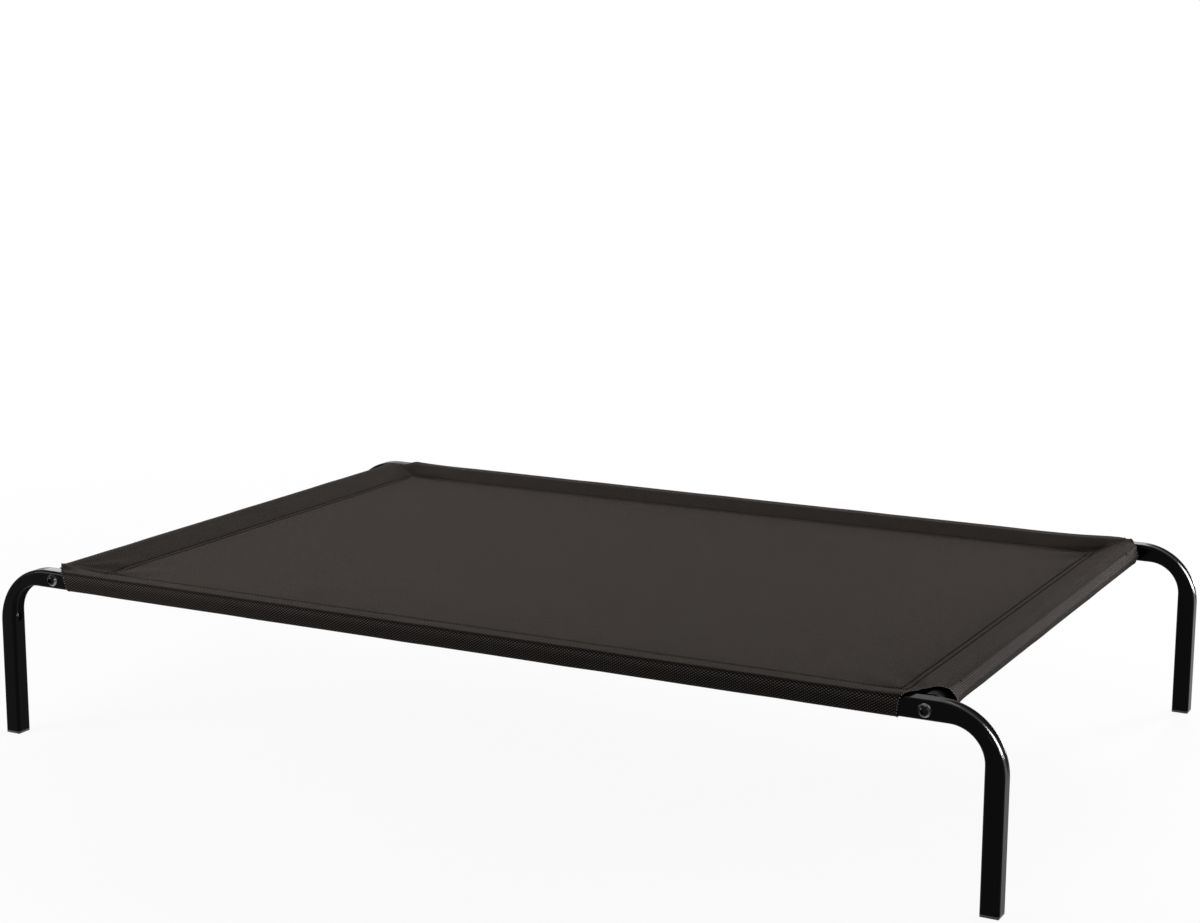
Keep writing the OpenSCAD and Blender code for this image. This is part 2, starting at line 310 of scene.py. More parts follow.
def round_wrap(tip_high, tip_low):
    """A loose roll that meets the tube below, with a flat band between two creases on the outer side."""
    above_points, below_points, flat_points = 8, 18, 5
    radius = CROSS_RADIUS + SLACK + CLOTH / 2
    loose = radius + ROLL_SLACK
    centre = np.zeros(2)
    start = touch_angle(centre, loose, tip_high, True) % (2 * math.pi)
    stop = touch_angle(centre, radius, tip_low, False) % (2 * math.pi) - 2 * math.pi
    above = arc(centre, loose, start, ROLL_END, above_points)
    angles = np.linspace(BELOW_START, stop, below_points)
    reach = loose + (radius - loose) * smoothstep((CLOSING_START - angles) / CLOSING_SPAN)
    below = reach[:, None] * np.stack([np.cos(angles), np.sin(angles)], axis=1)
    corner_high, corner_low = arc(centre, CREASE_RADIUS, CREASE_HIGH, CREASE_LOW, 2)
    high = crease(above[-1], corner_high, corner_low)
    low = crease(corner_high, corner_low, below[0])
    pieces = [above]
    for following in (high, low, below):
        pieces += [between(pieces[-1][-1], following[0], flat_points), following]
    return np.concatenate(pieces)


class Sleeve:
    """One kind of sleeve: its section in (out from the bed's middle, up), by the length along it."""

    def __init__(self, wrap, axis, border, seam, lap, slope_points):
        under_points, lap_points = 10, 4
        tip_high = (seam - axis, PANEL_Z - AXIS_Z)
        tip_low = (seam - axis, PANEL_Z - AXIS_Z - LAYER_GAP)
        round_rail = wrap(tip_high, tip_low) + np.array([axis, AXIS_Z])
        first, last = round_rail[0], round_rail[-1]
        self.border, self.seam = border, seam
        self.slope = (first[1] - PANEL_Z) / (first[0] - seam)
        start = np.array([border, PANEL_Z + self.slope * (border - seam)])
        low_seam = np.array([seam, PANEL_Z - LAYER_GAP])
        lap_end = np.array([lap, PANEL_Z - LAYER_GAP])
        section = np.concatenate([
            start[None], between(start, first, slope_points), round_rail,
            between(last, low_seam, under_points), low_seam[None],
            between(low_seam, lap_end, lap_points), lap_end[None],
        ])
        self.out, self.up = section.T
        steps = np.diff(section, axis=0)
        self.along = np.concatenate([[0], np.cumsum(np.hypot(*steps.T))])
        tangent = np.gradient(section, self.along, axis=0)
        tangent /= np.linalg.norm(tangent, axis=1)[:, None]
        self.normal_out, self.normal_up = -tangent[:, 1], tangent[:, 0]
        self.angle = np.arctan2(self.up - AXIS_Z, self.out - axis)
        self.meets_rail = self.along[slope_points + 1]
        self.high_edge = self.along[np.argmax(self.angle < UPPER_EDGE)]
        self.low_edge = self.along[np.argmax(self.angle < LOWER_EDGE)]
        self.lap_start = self.along[-2 - lap_points]

    def at(self, values, along):
        return np.interp(along, self.along, values)

    def upper(self, values, out):
        """Values on the sleeve's upper side, by the distance out from the bed's middle."""
        count = np.argmax(self.out) + 1
        return np.interp(out, self.out[:count], values[:count])

    def rise(self, out):
        """Height above the panel of the sleeve's upper side."""
        slope = self.slope * ramp(out - self.seam, SEAM_ROUND)
        return np.where(out < self.border, slope, self.upper(self.up, out) - PANEL_Z)

    def flat_place(self, out, up):
        """How far out on the flat cut the nearest place on the section lies."""
        nearest = np.argmin(np.hypot(self.out - out, self.up - up))
        return self.border + float(self.along[nearest])


LONG = Sleeve(square_wrap, RAIL_Y, CUTOUT_Y, SEAM_Y, LAP_Y, slope_points=6)
SHORT = Sleeve(round_wrap, CROSS_X, CUTOUT_X, SEAM_X, LAP_X, slope_points=5)


def corner_cut(side_x, side_y):
    return PULLED_OUT if side_x == side_y else SET_BACK


def sleeve_ends(sleeve, side):
    """For each end: where the cloth stops at the notch, the upper and the lower edge, and how open it is."""
    ends = {}
    for end in (-1, 1):
        cut = corner_cut(end, side)
        if sleeve is LONG:
            ends[end] = (cut.notch[0], cut.long_high, cut.long_low, cut.open)
        else:
            ends[end] = (cut.notch[1], cut.short_high, cut.short_low, cut.open)
    return ends


# The cloth's top layer as a height above each place in plan
def seam_rows(seam):
    return (seam, seam - SEAM_SPACING)


def top_height(x, y):
    across, along = np.abs(y), np.abs(x)
    height = PANEL_Z + np.cbrt(LONG.rise(across) ** 3 + SHORT.rise(along) ** 3)
    inside_x = np.clip(1 - (x / SEAM_X) ** 2, 0, 1)
    inside_y = np.clip(1 - (y / SEAM_Y) ** 2, 0, 1)
    height = height - SAG * np.sqrt(inside_x * inside_y) * inside_x * inside_y
    for row_x, row_y in zip(seam_rows(SEAM_X), seam_rows(SEAM_Y)):
        within_x = smoothstep((row_x + GROOVE_END - along) / GROOVE_END)
        within_y = smoothstep((row_y + GROOVE_END - across) / GROOVE_END)
        height = height - GROOVE_DEPTH * bell(across - row_y, GROOVE_WIDTH) * within_x
        height = height - GROOVE_DEPTH * bell(along - row_x, GROOVE_WIDTH) * within_y
    middle_y, middle_x = SEAM_Y - SEAM_SPACING / 2, SEAM_X - SEAM_SPACING / 2
    height = height + PUCKER * bell(across - middle_y, PUCKER_REACH) * waver(x, *LONG_PUCKERS)
    height = height + PUCKER * bell(along - middle_x, PUCKER_REACH) * waver(y, *SHORT_PUCKERS)
    return height + corner_folds(along, across)


def corner_folds(along, across):
    """Soft pulls in the cloth, spreading from each corner's cut-out into the panel."""
    back_x, back_y = CUTOUT_X + FOLD_BEYOND - along, CUTOUT_Y + FOLD_BEYOND - across
    reach = np.hypot(back_x, back_y)
    turn = np.arctan2(back_y, back_x)
    return FOLD * bell(reach - FOLD_REACH, FOLD_WIDTH) * np.sin(FOLD_TURNS * turn + FOLD_PHASE)


def samples(half, rows):
    """Even steps across the bed, with close ones beside each seam row and beyond the outer one."""
    outer, inner = rows
    close = np.concatenate([-GROOVE_STEPS[:0:-1], GROOVE_STEPS])
    values = np.linspace(-inner, inner, round(2 * inner / GRID_STEP) + 1)[1:-1]
    near = np.abs(np.abs(values) - inner) < GRID_CLEARANCE
    side = np.concatenate([
        outer + close, inner + close, [(outer + inner) / 2],
        np.linspace(outer + GROOVE_REACH, half, BORDER_STEPS + 1)[1:],
    ])
    return np.sort(np.concatenate([values[~near], side, -side]))


class ClothMesh:
    """Collects the cloth's points, faces and flat-cut coordinates."""

    def __init__(self):
        self.points, self.flats, self.faces = [], [], []

    def add_points(self, points, flats):
        first = len(self.points)
        self.points.extend(map(tuple, points))
        self.flats.extend(map(tuple, flats))
        return np.arange(first, first + len(points))

    def add_strips(self, rows):
        """Faces between each row of point numbers and the next."""
        for low, high in zip(rows, rows[1:]):
            for a, b, c, d in zip(low, low[1:], high[1:], high):
                self.faces.append((a, b, c, d))


def end_reach(place, half):
    """0 along most of a side, growing to 1 at its end."""
    return np.clip((np.abs(place) - half + END_REACH) / END_REACH, 0, 1) ** 2


def spread_corners(x, y):
    """Moves the cloth beyond the seams so that each corner of the grid meets its cut-out."""
    along, across = np.abs(x), np.abs(y)
    beyond_x = np.clip((along - SEAM_X - GROOVE_REACH) / (CUTOUT_X - SEAM_X - GROOVE_REACH), 0, 1)
    beyond_y = np.clip((across - SEAM_Y - GROOVE_REACH) / (CUTOUT_Y - SEAM_Y - GROOVE_REACH), 0, 1)
    reach_x, reach_y = end_reach(x, CUTOUT_X), end_reach(y, CUTOUT_Y)
    same_side = np.sign(x) == np.sign(y)
    notch_x, notch_y = (
        np.where(same_side, pulled, back) for pulled, back in zip(PULLED_OUT.notch, SET_BACK.notch)
    )
    share_x = (beyond_x * (1 - beyond_y) + reach_x * beyond_y) * reach_y
    share_y = (beyond_y * (1 - beyond_x) + reach_y * beyond_x) * reach_x
    moved_x = x + np.sign(x) * (notch_x - CUTOUT_X) * share_x
    moved_y = y + np.sign(y) * (notch_y - CUTOUT_Y) * share_y
    return moved_x, moved_y


def sleeve_rows(sleeve, side, lengthwise, border_out, border_up):
    """Rows of a sleeve's points (lengthwise, out, up, length along the section), from its border."""
    half = np.abs(lengthwise).max()
    reach = end_reach(lengthwise, half)
    border = sleeve.upper(sleeve.along, border_out)
    extra = border_up - sleeve.at(sleeve.up, border)
    rows = []
    for nominal in sleeve.along:
        share = max(0.0, 1 - nominal / sleeve.high_edge)
        along = nominal + border * share
        out, up, normal_out, normal_up, angle = (
            sleeve.at(values, along)
            for values in (sleeve.out, sleeve.up, sleeve.normal_out, sleeve.normal_up, sleeve.angle)
        )
        place = lengthwise
        open_share = np.zeros_like(lengthwise)
        for end, (notch, high, low, opened) in sleeve_ends(sleeve, side).items():
            first, last = border[end_index(end)], along[end_index(end)]
            stop = np.interp(last, (first, sleeve.high_edge, sleeve.low_edge), (notch, high, low))
            here = lengthwise * end > 0
            place = place + np.where(here, end * (stop - half) * reach, 0)
            open_share = open_share + np.where(here, opened * reach, 0)
        loose = SLEEVE_WAVER * waver(place, SLEEVE_WAVE, SLEEVE_SEEDS * nominal / sleeve.along[-1])
        if sleeve is SHORT:
            loose = loose + FLARE * open_share * np.clip(np.cos(angle), 0, 1) ** FLARE_POWER
        else:
            loose = loose + LIFT * open_share * np.clip(np.sin(angle), 0, 1) ** LIFT_POWER
        loose = loose * (nominal < sleeve.lap_start)
        down = 1 - smoothstep(nominal / sleeve.meets_rail)
        rows.append((place, out + loose * normal_out, up + loose * normal_up + extra * down, along))
    return rows


def in_plan(sleeve, lengthwise, out):
    """A sleeve's places along it and out from the bed's middle, as X and Y."""
    return (lengthwise, out) if sleeve is LONG else (out, lengthwise)


def add_sleeve(cloth, sleeve, side, lengthwise, border, border_out, border_up):
    """Adds a sleeve on from a border of the panel, and gives its rows of point numbers."""
    rows = [border]
    for place, out, up, along in sleeve_rows(sleeve, side, lengthwise, border_out, border_up)[1:]:
        flat = np.stack(in_plan(sleeve, place, side * (sleeve.border + along)), axis=1)
        points = np.stack([*in_plan(sleeve, place, side * out), up], axis=1)
        rows.append(cloth.add_points(points, flat))
    faces_out = (side > 0) == (sleeve is LONG)
    cloth.add_strips(rows if faces_out else rows[::-1])
    return np.array(rows)


def build_cloth():
    """The bed as one cut of cloth, and its sleeves' rows of point numbers."""
    cloth = ClothMesh()
    xs = samples(CUTOUT_X, seam_rows(SEAM_X))
    ys = samples(CUTOUT_Y, seam_rows(SEAM_Y))
    grid_x, grid_y = spread_corners(*np.meshgrid(xs, ys))
    heights = top_height(grid_x, grid_y)
    flats = np.stack([grid_x.ravel(), grid_y.ravel()], axis=1)
    points = np.column_stack([flats, heights.ravel()])
    block = cloth.add_points(points, flats).reshape(grid_x.shape)
    cloth.add_strips(list(block))
    sleeves = {}
    for side in (-1, 1):
        edge = end_index(side)
        border = (block[edge], np.abs(grid_y[edge]), heights[edge])
        sleeves["long", side] = add_sleeve(cloth, LONG, side, xs, *border)
        border = (block[:, edge], np.abs(grid_x[:, edge]), heights[:, edge])
        sleeves["short", side] = add_sleeve(cloth, SHORT, side, ys, *border)
    return cloth, sleeves


def bulged(points):
    """The cloth's points, with its upper layer raised over the rear right leg."""
    x, y, z = points.T
    reach = np.where(x < BULGE_PLACE[0], BULGE_REACH, BULGE_FALL)
    bulge = bell(x - BULGE_PLACE[0], reach) * bell(y - BULGE_PLACE[1], BULGE_REACH)
    upper = smoothstep((z - AXIS_Z) / RAIL_HALF)
    return np.stack([x, y, z + BULGE_HEIGHT * bulge * upper], axis=1)


def dress(piece, material):
    piece.data.materials.clear()
    piece.data.materials.append(material)


def linked_object(name, mesh, material):
    """A new smooth object in the scene."""
    mesh.shade_smooth()
    piece = bpy.data.objects.new(name, mesh)
    scene.collection.objects.link(piece)
    dress(piece, material)
    return piece


def mesh_object(name, points, faces, material):
    mesh = bpy.data.meshes.new(name)
    mesh.from_pydata(points, [], faces)
    mesh.validate()
    return linked_object(name, mesh, material)


def make_cloth():
    """The bed's piece, its points, its sleeves' rows of point numbers and the area of the flat cut."""
    cloth, sleeves = build_cloth()
    points = bulged(np.array(cloth.points))
    faces = np.array(cloth.faces)
    piece = mesh_object("bed_cloth", points.tolist(), faces.tolist(), cloth_material())
    flats = np.array(cloth.flats)
    layer = piece.data.uv_layers.new(name="flat_cut")
    corners = np.zeros(len(piece.data.loops), np.int32)
    piece.data.loops.foreach_get("vertex_index", corners)
    layer.data.foreach_set("uv", flats[corners].astype(np.float32).ravel())
    thick = piece.modifiers.new("thickness", "SOLIDIFY")
    thick.thickness = CLOTH
    thick.offset = 0
    a, b, c, d = (flats[faces[:, corner]] for corner in range(4))
    area = np.abs(np.cross(c - a, d - b)).sum() / 2
    return piece, points, sleeves, float(area)


# Sewing: threads as short rounded stitches, and the bound edges of the cut-outs
def stitch_template():
    """A short thread along X, as points (length, side, up) and faces."""
    stations = ((0.12, 0.62), (0.5, 1.0), (0.88, 0.62))
    sides = 6
    points = [(0.0, 0.0, 0.0)]
    for along, size in stations:
        for k in range(sides):
            turn = 2 * math.pi * k / sides
            points.append((along, size * math.cos(turn), size * math.sin(turn)))
    points.append((1.0, 0.0, 0.0))
    faces = []
    end = len(points) - 1
    for k in range(sides):
        following = (k + 1) % sides
        faces.append((0, 1 + following, 1 + k))
        for ring in range(len(stations) - 1):
            low = 1 + ring * sides
            high = low + sides
            faces.append((low + k, low + following, high + following, high + k))
        last = 1 + (len(stations) - 1) * sides
        faces.append((end, last + k, last + following))
    return np.array(points), faces


def make_stitches(name, stitches, radius, material):
    """One piece that holds a stitch from each start to its end, lying on its normal's side."""
    template, template_faces = stitch_template()
    starts, ends, normals = (np.asarray(values, float) for values in stitches)
    length = np.linalg.norm(ends - starts, axis=1)[:, None]
    along = (ends - starts) / length
    sides = np.cross(normals, along)
    sides /= np.linalg.norm(sides, axis=1)[:, None]
    ups = np.cross(along, sides)
    points = (
        starts[:, None]
        + along[:, None] * (template[None, :, :1] * length[:, None])
        + sides[:, None] * template[None, :, 1:2] * radius
        + ups[:, None] * template[None, :, 2:] * radius
    )
    faces = [
        tuple(first + k for k in face)
        for first in range(0, points.shape[0] * points.shape[1], points.shape[1])
        for face in template_faces
    ]
    return mesh_object(name, points.reshape(-1, 3).tolist(), faces, material)


def seam_stitches(lengthwise_x):
    """The double rows along two sides of the panel, as starts, ends and normals on its upper face."""
    starts, ends, normals = [], [], []
    rows, reach = seam_rows(SEAM_X), seam_rows(SEAM_Y)
    if lengthwise_x:
        rows, reach = reach, rows
    for row, half in zip(rows, reach):
        middles = np.arange(-half, half, STITCH_PITCH)
        for side in (-1, 1):
            for shift, held in ((-STITCH_LENGTH / 2, starts), (STITCH_LENGTH / 2, ends)):
                place = middles + shift
                crosswise = np.full_like(place, side * row)
                x, y = (place, crosswise) if lengthwise_x else (crosswise, place)
                z = top_height(x, y) + CLOTH / 2 + STITCH_LIFT
                held.append(np.stack([x, y, z], axis=1))
            normals.append(np.tile((0.0, 0.0, 1.0), (len(middles), 1)))
    return [np.concatenate(values) for values in (starts, ends, normals)]


def bar_tack(middle, along, normal):
    """Three close stitches side by side."""
    across = np.cross(normal, along)
    middles = np.array([middle + across * TACK_SPACING * step for step in (-1, 0, 1)])
    half = np.array(along) * TACK_LENGTH / 2
    return middles - half, middles + half, np.tile(normal, (len(middles), 1))


def bar_tacks():
    """A tack at each inner corner of the seams, and one on the crease near each short sleeve's end."""
    tacks = []
    crosswise = (0.0, 1.0, 0.0)
    row_x, row_y = seam_rows(SEAM_X)[1], seam_rows(SEAM_Y)[1]
    crease_out, crease_up = math.cos(CREASE_HIGH), math.sin(CREASE_HIGH)
    reach = CREASE_RADIUS + CLOTH / 2
    for side_x in (-1, 1):
        for side_y in (-1, 1):
            x, y = side_x * row_x, side_y * row_y
            place = np.array((x, y, top_height(np.array([x]), np.array([y]))[0] + CLOTH))
            tacks.append(bar_tack(place, crosswise, (0.0, 0.0, 1.0)))
            y = side_y * (corner_cut(side_x, side_y).short_high - TACK_FROM_END)
            place = np.array((side_x * (CROSS_X + reach * crease_out), y, AXIS_Z + reach * crease_up))
            tacks.append(bar_tack(place, crosswise, (side_x * crease_out, 0.0, crease_up)))
    return [np.concatenate(values) for values in zip(*tacks)]


def section_normals(sleeve, side):
    """The cloth's outward normals along the section of a sleeve on one side."""
    zero = np.zeros_like(sleeve.normal_out)
    return np.stack([*in_plan(sleeve, zero, side * sleeve.normal_out), sleeve.normal_up], axis=1)


def cutout_edges(points, sleeves):
    """For each corner, the edge of its cut-out with the cloth's outward normals along it."""
    paths = []
    for side_x in (-1, 1):
        for side_y in (-1, 1):
            long_edge = points[sleeves["long", side_y][:, end_index(side_x)]]
            short_edge = points[sleeves["short", side_x][:, end_index(side_y)]]
            path = np.concatenate([short_edge[::-1], long_edge[1:]])
            short_normals, long_normals = section_normals(SHORT, side_x), section_normals(LONG, side_y)
            paths.append((path, np.concatenate([short_normals[::-1], long_normals[1:]])))
    return paths


def resampled(path, normals, step):
    """Even places along a path, with the normals and the path's directions there."""
    glance = 0.0005
    lengths = np.linalg.norm(np.diff(path, axis=0), axis=1)
    along = np.concatenate([[0], np.cumsum(lengths)])
    places = np.arange(step / 2, along[-1], step)

    def spread(values, wanted):
        return np.stack([np.interp(wanted, along, column) for column in values.T], axis=1)

    middles, facing = spread(path, places), spread(normals, places)
    directions = spread(path, places + glance) - middles
    directions /= np.linalg.norm(directions, axis=1)[:, None]
    return middles, facing / np.linalg.norm(facing, axis=1)[:, None], directions


def make_binding(paths, material):
    """The bound edges, one tube along each cut-out."""
    curve = bpy.data.curves.new("edge_binding", "CURVE")
    curve.dimensions = "3D"
    curve.bevel_depth = BINDING_RADIUS
    curve.bevel_resolution = 3
    curve.use_fill_caps = True
    for path, _ in paths:
        spline = curve.splines.new("POLY")
        spline.points.add(len(path) - 1)
        for point, place in zip(spline.points, path):
            point.co = (*place, 1)
    holder = bpy.data.objects.new("edge_binding_curve", curve)
    scene.collection.objects.link(holder)
    bpy.context.view_layer.update()
    mesh = bpy.data.meshes.new_from_object(holder.evaluated_get(bpy.context.evaluated_depsgraph_get()))
    bpy.data.objects.remove(holder)
    mesh.name = "edge_binding"
    return linked_object("edge_binding", mesh, material)


def binding_stitches(paths):
    """Slanted stitches over the bound edges, as starts, ends and normals."""
    starts, ends, normals = [], [], []
    for path, path_normals in paths:
        middles, facing, directions = resampled(path, path_normals, BINDING_PITCH)
        lifted = middles + facing * (BINDING_RADIUS + EDGE_STITCH_LIFT)
        slant = directions * EDGE_STITCH_ALONG + np.cross(facing, directions) * EDGE_STITCH_ACROSS
        starts.append(lifted - slant)
        ends.append(lifted + slant)
        normals.append(facing)
    return [np.concatenate(values) for values in (starts, ends, normals)]


# Materials
def new_material(name):
    material = bpy.data.materials.new(name)
    material.use_nodes = True
    nodes = material.node_tree.nodes
    shader = next(n for n in nodes if n.type == "BSDF_PRINCIPLED")
    return material, material.node_tree, shader


def linked(tree, kind, inputs=None, **settings):
    """A new node with its settings and inputs, each input a value or another node's output."""
    node = tree.nodes.new(kind)
    for key, value in settings.items():
        setattr(node, key, value)
    for key, value in (inputs or {}).items():
        if isinstance(value, bpy.types.NodeSocket):
            tree.links.new(value, node.inputs[key])
        else:
            node.inputs[key].default_value = value
    return node


def object_place(tree):
    return linked(tree, "ShaderNodeTexCoord").outputs["Object"]


def calculate(tree, operation, first, second=0.0):
    return linked(tree, "ShaderNodeMath", {0: first, 1: second}, operation=operation).outputs[0]


def calculate_vector(tree, operation, *values):
    """The vector that an operation gives, or its number for a length."""
    node = linked(tree, "ShaderNodeVectorMath", dict(enumerate(values)), operation=operation)
    return node.outputs["Value" if operation == "LENGTH" else "Vector"]


def noise(tree, vector, scale, detail=2.0):
    node = linked(tree, "ShaderNodeTexNoise", {"Vector": vector, "Scale": scale, "Detail": detail})
    return node.outputs["Fac"]


def between_values(tree, factor, low, high, from_low=0.35, from_high=0.65):
    inputs = {"Value": factor, "From Min": from_low, "From Max": from_high, "To Min": low, "To Max": high}
    return linked(tree, "ShaderNodeMapRange", inputs).outputs["Result"]


def mixed_colour(tree, share, first, second):
    """A mix of two colours. The node's socket names repeat for each kind of data, so these go by number."""
    share_socket, first_socket, second_socket, result_socket = 0, 6, 7, 2
    inputs = {share_socket: share, first_socket: first, second_socket: second}
    return linked(tree, "ShaderNodeMix", inputs, data_type="RGBA").outputs[result_socket]


def bumped(tree, shader, height, distance, strength=1.0):
    inputs = {"Height": height, "Distance": distance, "Strength": strength}
    node = linked(tree, "ShaderNodeBump", inputs)
    tree.links.new(node.outputs["Normal"], shader.inputs["Normal"])


def faded_strip(tree, place, start, stop, rise, fall):
    """1 from start to stop, with a rise before it and a fall after it."""
    rising = between_values(tree, place, 0.0, 1.0, start - rise, start)
    falling = between_values(tree, place, 1.0, 0.0, stop, stop + fall)
    return calculate(tree, "MULTIPLY", rising, falling)


def yarn_with_painted_light(tree, parts, light):
    """The light yarns' colour, with painted highlight and painted shade strips along the sleeves."""
    high, low = (
        SHORT.flat_place(CROSS_X + CREASE_RADIUS * math.cos(angle), AXIS_Z + CREASE_RADIUS * math.sin(angle))
        for angle in (CREASE_HIGH, CREASE_LOW)
    )
    edge = LONG.flat_place(RAIL_Y + RAIL_HALF, AXIS_Z + RAIL_HALF)
    for axis, first, last, painted_strips in (("X", high, low, SHORT_PAINTED_LIGHT), ("Y", edge, edge, LONG_PAINTED_LIGHT)):
        place = calculate(tree, "ABSOLUTE", parts.outputs[axis])
        # Each strip mixes a painted highlight or a painted shade colour into the light yarns
        for tone in painted_strips:
            share = faded_strip(tree, place, first + tone.start, last + tone.stop, tone.rise, tone.fall)
            light = mixed_colour(tree, share, light, tone.colour)
    return light


def cloth_material():
    """A plain weave of warm black yarns, with a faint sheen, uneven tone, and painted highlight and painted
    shade strips along the sleeves.
    """
    material, tree, shader = new_material("warm_black_weave")
    flat = linked(tree, "ShaderNodeUVMap", uv_map="flat_cut").outputs["UV"]
    place = object_place(tree)
    parts = linked(tree, "ShaderNodeSeparateXYZ", {"Vector": flat})
    waves = []
    for axis, width in YARN_WIDTHS.items():
        turns = calculate(tree, "MULTIPLY", parts.outputs[axis], math.pi / width)
        waves.append(calculate(tree, "SINE", turns))
    checks = calculate(tree, "MULTIPLY", *waves)
    pillows = calculate(tree, "POWER", calculate(tree, "ABSOLUTE", checks), CROSSING_POWER)
    over = between_values(tree, checks, low=0.0, high=1.0, from_low=-0.05, from_high=0.5)
    clouds = noise(tree, place, scale=9.0, detail=4.0)
    fibres = noise(tree, place, scale=1400.0, detail=3.0)
    dark = mixed_colour(tree, clouds, *DARK_YARN)
    light = yarn_with_painted_light(tree, parts, mixed_colour(tree, clouds, *LIGHT_YARN))
    woven = mixed_colour(tree, over, dark, light)
    shade = between_values(tree, pillows, low=0.25, high=1.0, from_low=0.0, from_high=0.65)
    colour = linked(tree, "ShaderNodeHueSaturation", {"Color": woven, "Value": shade}).outputs["Color"]
    tree.links.new(colour, shader.inputs["Base Color"])
    tree.links.new(between_values(tree, fibres, low=0.62, high=0.82), shader.inputs["Roughness"])
    shader.inputs["Specular IOR Level"].default_value = 0.008
    shader.inputs["Sheen Weight"].default_value = 0.08
    shader.inputs["Sheen Tint"].default_value = SHEEN_TINT
    shader.inputs["Sheen Roughness"].default_value = 0.4
    height = calculate(tree, "ADD", pillows, calculate(tree, "MULTIPLY", fibres, FIBRE_SHARE))
    bumped(tree, shader, height, distance=WEAVE_DEPTH)
    return material


def thread_material(name, colour, gloss, sheen=0.0):
    """Twisted thread: a fine change between the colour and a brighter one."""
    material, tree, shader = new_material(name)
    shader.inputs["Specular IOR Level"].default_value = gloss
    shader.inputs["Sheen Weight"].default_value = sheen
    shader.inputs["Sheen Tint"].default_value = SHEEN_TINT
    twist = noise(tree, object_place(tree), scale=2600.0)
    lightening = 1.5
    brighter = tuple(lightening * value for value in colour)
    mix = mixed_colour(tree, twist, (*colour, 1), (*brighter, 1))
    tree.links.new(mix, shader.inputs["Base Color"])
    tree.links.new(between_values(tree, twist, low=0.38, high=0.6), shader.inputs["Roughness"])
    bumped(tree, shader, twist, distance=0.00012)
    return material


def paint_material(name, low, high):
    """Black powder coat: a little orange peel, fine dust, and roughness uneven between two values."""
    material, tree, shader = new_material(name)
    place = object_place(tree)
    smudges = noise(tree, place, scale=22.0, detail=5.0)
    peel = noise(tree, place, scale=420.0, detail=1.0)
    dust = noise(tree, place, scale=1900.0)
    specks = between_values(tree, dust, low=0.0, high=1.0, from_low=0.68, from_high=0.76)
    tree.links.new(mixed_colour(tree, specks, PAINT, PAINT_DUST), shader.inputs["Base Color"])
    tree.links.new(between_values(tree, smudges, low, high), shader.inputs["Roughness"])
    shader.inputs["Specular IOR Level"].default_value = 0.04
    bumped(tree, shader, peel, distance=0.00006, strength=0.1)
    return material


def painted_rim_highlight(tree, place):
    """A painted highlight on a corner bolt's head: paler steel, uneven, and most at the rim."""
    folded = calculate_vector(tree, "ABSOLUTE", place)
    reach = calculate_vector(tree, "SUBTRACT", folded, (CROSS_X, 0.0, AXIS_Z))
    across = calculate_vector(tree, "MULTIPLY", reach, (1, 0, 1))
    radius = calculate_vector(tree, "LENGTH", across)
    rim = between_values(tree, radius, 0.0, 1.0, *RIM_HIGHLIGHT_RADII)
    patches = noise(tree, place, scale=130.0)
    highlight_share = between_values(tree, patches, low=0.05, high=1.0, from_low=0.4, from_high=0.62)
    return calculate(tree, "MULTIPLY", rim, highlight_share)


def steel_material(name, colour, low, high, rim_highlight=None):
    """Turned or drawn steel with fine uneven streaks, and a painted highlight at a bolt head's rim if given.
    """
    material, tree, shader = new_material(name)
    place = object_place(tree)
    squeeze = (1.0, 6.0, 1.0)
    squeezed = linked(tree, "ShaderNodeMapping", {"Vector": place, "Scale": squeeze}).outputs[0]
    streaks = noise(tree, squeezed, scale=700.0, detail=4.0)
    marks = noise(tree, place, scale=160.0, detail=3.0)
    darkening = 0.7
    darker = tuple(darkening * value for value in colour)
    tone = mixed_colour(tree, marks, (*darker, 1), (*colour, 1))
    if rim_highlight:
        # A painted highlight: paler steel at the rim of a bolt head
        tone = mixed_colour(tree, painted_rim_highlight(tree, place), tone, (*rim_highlight, 1))
    tree.links.new(tone, shader.inputs["Base Color"])
    tree.links.new(between_values(tree, streaks, low, high), shader.inputs["Roughness"])
    shader.inputs["Metallic"].default_value = 1.0
    bumped(tree, shader, streaks, distance=0.00004)
    return material


def plastic_material():
    """Moulded black plastic with a fine grain and scuffs."""
    material, tree, shader = new_material("black_foot_plastic")
    place = object_place(tree)
    grain = noise(tree, place, scale=900.0, detail=3.0)
    scuffs = noise(tree, place, scale=120.0, detail=4.0)
    tree.links.new(mixed_colour(tree, scuffs, PLASTIC, PLASTIC_SCUFF), shader.inputs["Base Color"])
    tree.links.new(between_values(tree, grain, low=0.36, high=0.52), shader.inputs["Roughness"])
    bumped(tree, shader, grain, distance=0.00008)
    return material


def dress_frame():
    """The frame's finishes by its material slots, with a duller paint on the cross rails."""
    finishes = {
        "frame_paint": paint_material("gloss_black_paint", low=0.09, high=0.17),
        "bare_steel": steel_material("zinc_steel", ZINC, low=0.3, high=0.45),
        "bolt_metal": steel_material("dark_bolt_steel", OXIDE, low=0.07, high=0.13, rim_highlight=RIM_HIGHLIGHT_STEEL),
        "foot_plastic": plastic_material(),
    }
    for part in frame["record"]["subparts"]:
        if part["material_slot"] in finishes:
            dress(frame["nodes"][part["node"]], finishes[part["material_slot"]])
    satin = paint_material("satin_black_paint", low=0.42, high=0.52)
    for name in ("cross_rail_left", "cross_rail_right"):
        dress(frame["nodes"][name], satin)


